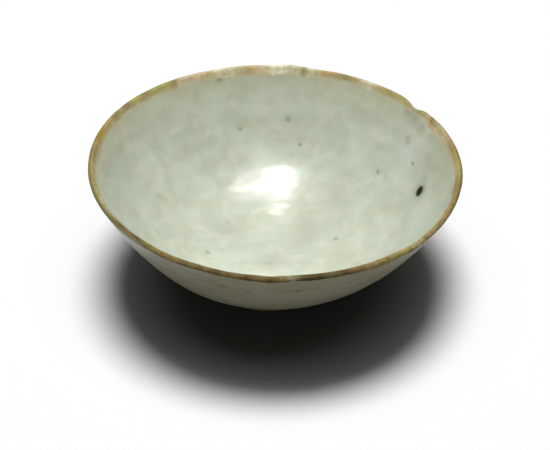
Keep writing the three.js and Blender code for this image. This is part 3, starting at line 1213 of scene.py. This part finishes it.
def makeSpeckTree():
    tree, given = startTree("iron specks", {
        "Geometry": ["seats"], "Float": ["ragged", "raggedSize", "seed"],
        "Int": ["rounds"], "Material": ["material"],
    })
    ball = addNode(tree, "GeometryNodeMeshIcoSphere", {"Radius": 1.0, "Subdivisions": given["rounds"]})
    position = addNode(tree, "GeometryNodeInputPosition").outputs[0]
    ballX, ballY, _ = separate(position)
    ball = addNode(tree, "GeometryNodeStoreNamedAttribute", {
        "Geometry": ball.outputs["Mesh"], "Name": "rim", "Value": (ballX * ballX + ballY * ballY) ** 0.5,
    }, data_type="FLOAT", domain="POINT")
    turn = addNode(tree, "GeometryNodeInputNamedAttribute", {"Name": "turn"}, data_type="FLOAT_VECTOR")
    size = addNode(tree, "GeometryNodeInputNamedAttribute", {"Name": "size"}, data_type="FLOAT_VECTOR")
    placed = addNode(tree, "GeometryNodeInstanceOnPoints", {
        "Points": given["seats"], "Instance": ball.outputs[0],
        "Rotation": turn.outputs[0], "Scale": size.outputs[0],
    })
    real = addNode(tree, "GeometryNodeRealizeInstances", {"Geometry": placed.outputs[0]})
    stray = addNode(tree, "ShaderNodeTexNoise", {
        "Vector": position, "W": given["seed"], "Detail": 1.0,
        "Scale": 0.5 / Field(given["raggedSize"]),
    }, noise_dimensions="4D").outputs["Color"]
    ragged = Field(given["ragged"]) * 2.0
    parts = [(part - 0.5) * ragged for part in separate(stray)]
    moved = addNode(tree, "GeometryNodeSetPosition", {
        "Geometry": real.outputs[0], "Offset": combine(*parts),
    })
    smooth = addNode(tree, "GeometryNodeSetShadeSmooth", {
        "Geometry": moved.outputs[0], "Shade Smooth": True,
    })
    return endTree(tree, smooth, given["material"])


speckTree = makeSpeckTree()


def seatSpecks(name, nodes, material):
    seats = [speckSeat(node) for node in nodes]
    mesh = bpy.data.meshes.new(name + " seats")
    mesh.from_pydata([centre for centre, _ in seats], [], [])
    turns = mesh.attributes.new("turn", "FLOAT_VECTOR", "POINT")
    turns.data.foreach_set("vector", [part for _, euler in seats for part in euler])
    sizes = mesh.attributes.new("size", "FLOAT_VECTOR", "POINT")
    lengths = [(specks[node]["length"] * mm, specks[node]["width"] * mm) for node in nodes]
    sizes.data.foreach_set("vector", [
        part / 2 for length, width in lengths for part in (length, width, speckForm["thickness"])
    ])
    source = addObject(name + " seats", mesh)
    modifier = source.modifiers.new("iron specks", "NODES")
    modifier.node_group = speckTree
    setInputs(modifier, speckTree, {**speckForm, "material": material})
    finishPiece(name, source, nodes)


smallSpecks = [node for node in specks if node != "iron_spot_large"]
seatSpecks("ironSpotLarge", ["iron_spot_large"], spotMaterial)
seatSpecks("ironSpecks", smallSpecks, speckMaterial)


# Floor, light and camera

view = {
    "rise": 36.32 * degree,
    "distance": 750 * mm,
    "target": Vector((-0.27, -0.5, 30.52)) * mm,
    "lens": 100.02,
    "sensor": 36,
    "clipStart": 10 * mm,
}

camera = addObject("camera", bpy.data.cameras.new("camera"))
camera.data.lens = view["lens"]
camera.data.sensor_width = view["sensor"]
camera.data.clip_start = view["clipStart"]
fromTarget = Vector((0, -math.cos(view["rise"]), math.sin(view["rise"])))
camera.location = view["target"] + fromTarget * view["distance"]
camera.rotation_euler = (90 * degree - view["rise"], 0, 0)
bpy.context.scene.camera = camera

studio = {
    "distance": 8.0,
    "floorDistance": 8.4,  # lamps at one place would hide each other
    "worldLevel": 0.03,
    "floorAlbedo": 0.066,  # for the light that the floor gives the bowl
    "floorShade": 0.15,  # as the camera and the glaze see it
    "floorHalf": 1.7,
}

# Each lamp's width and depth in degrees as the bowl sees it, how far it stands to the back and to the left,
# and its level: levels that add up to about 1 show a white level surface as white
bowlLamps = {
    "overhead": {"width": 22, "depth": 16, "back": 0.7, "left": 2.2, "level": 0.8},
    "side": {"width": 18, "depth": 12, "back": 3.0, "left": -9.5, "level": 0.13},
    "soft front": {"width": 48, "depth": 48, "back": 0.0, "left": 0.0, "level": 0.04},
    "small back": {"width": 4.5, "depth": 5.5, "back": 22.3, "left": 2.1, "level": 0.045},
}
floorLamps = {
    "overhead": {"width": 25, "depth": 21, "back": 5.4, "left": 0.5, "level": 0.86},
    "soft": {"width": 65, "depth": 45, "back": -2.0, "left": 0.5, "level": 0.13},
}


def addLamp(name, lamp, level, distance):
    data = bpy.data.lights.new(name, "AREA")
    data.shape = "ELLIPSE"
    halfWidth = lamp["width"] / 2 * degree
    halfDepth = lamp["depth"] / 2 * degree
    data.size = 2 * distance * math.tan(halfWidth)
    data.size_y = 2 * distance * math.tan(halfDepth)
    area = math.pi * data.size * data.size_y / 4
    data.energy = level * math.pi * area / (math.sin(halfWidth) * math.sin(halfDepth))
    made = addObject(name, data)
    way = Vector((-math.tan(lamp["left"] * degree), math.tan(lamp["back"] * degree), 1.0)).normalized()
    made.location = way * distance
    made.rotation_euler = way.to_track_quat("Z", "Y").to_euler()
    return made


for lampName, lampForm in bowlLamps.items():
    addLamp(lampName + " lamp", lampForm, lampForm["level"], studio["distance"])
extra = 1.0 / studio["floorShade"] - 1.0  # more light for the floor alone keeps the shadow deep
onFloor = [
    addLamp(lampName + " floor lamp", lampForm, lampForm["level"] * extra, studio["floorDistance"])
    for lampName, lampForm in floorLamps.items()
]


def lookedAt(tree):  # 1 where the camera, a reflection or a clear thing looks, and 0 for the light itself
    rays = addNode(tree, "ShaderNodeLightPath")
    kinds = ("Is Camera Ray", "Is Glossy Ray", "Is Transmission Ray")
    direct, glossy, clear = [Field(rays.outputs[kind]) for kind in kinds]
    return calc("MAXIMUM", calc("MAXIMUM", direct, glossy), clear)


world = bpy.data.worlds.new("studio")
bpy.context.scene.world = world
world.use_nodes = True
worldTree = world.node_tree
worldTree.nodes.clear()
backdrop = addNode(worldTree, "ShaderNodeBackground", {
    "Strength": studio["worldLevel"] + lookedAt(worldTree) * (1.0 - studio["worldLevel"]),
})
backdrop.inputs["Color"].default_value = (1, 1, 1, 1)
feed(addNode(worldTree, "ShaderNodeOutputWorld").inputs[0], backdrop.outputs[0])

half = studio["floorHalf"]
floorMesh = bpy.data.meshes.new("floor")
corners = [(-half, -half, 0), (half, -half, 0), (half, half, 0), (-half, half, 0)]
floorMesh.from_pydata(corners, [], [(0, 1, 2, 3)])
floor = addObject("floor", floorMesh)
floorMaterial = bpy.data.materials.new("white floor")
floorMaterial.use_nodes = True
floorTree = floorMaterial.node_tree
floorTree.nodes.clear()
floorShade = studio["floorAlbedo"] + lookedAt(floorTree) * (studio["floorShade"] - studio["floorAlbedo"])
floorColour = combine(floorShade, floorShade, floorShade)
floorDiffuse = addNode(floorTree, "ShaderNodeBsdfDiffuse", {"Color": floorColour})
feed(addNode(floorTree, "ShaderNodeOutputMaterial").inputs[0], floorDiffuse.outputs[0])
floorMesh.materials.append(floorMaterial)
floorOnly = bpy.data.collections.new("floor only")
floorOnly.objects.link(floor)
for lamp in onFloor:
    lamp.light_linking.receiver_collection = floorOnly

bpy.context.scene.view_settings.view_transform = "Standard"
print("studio: set")
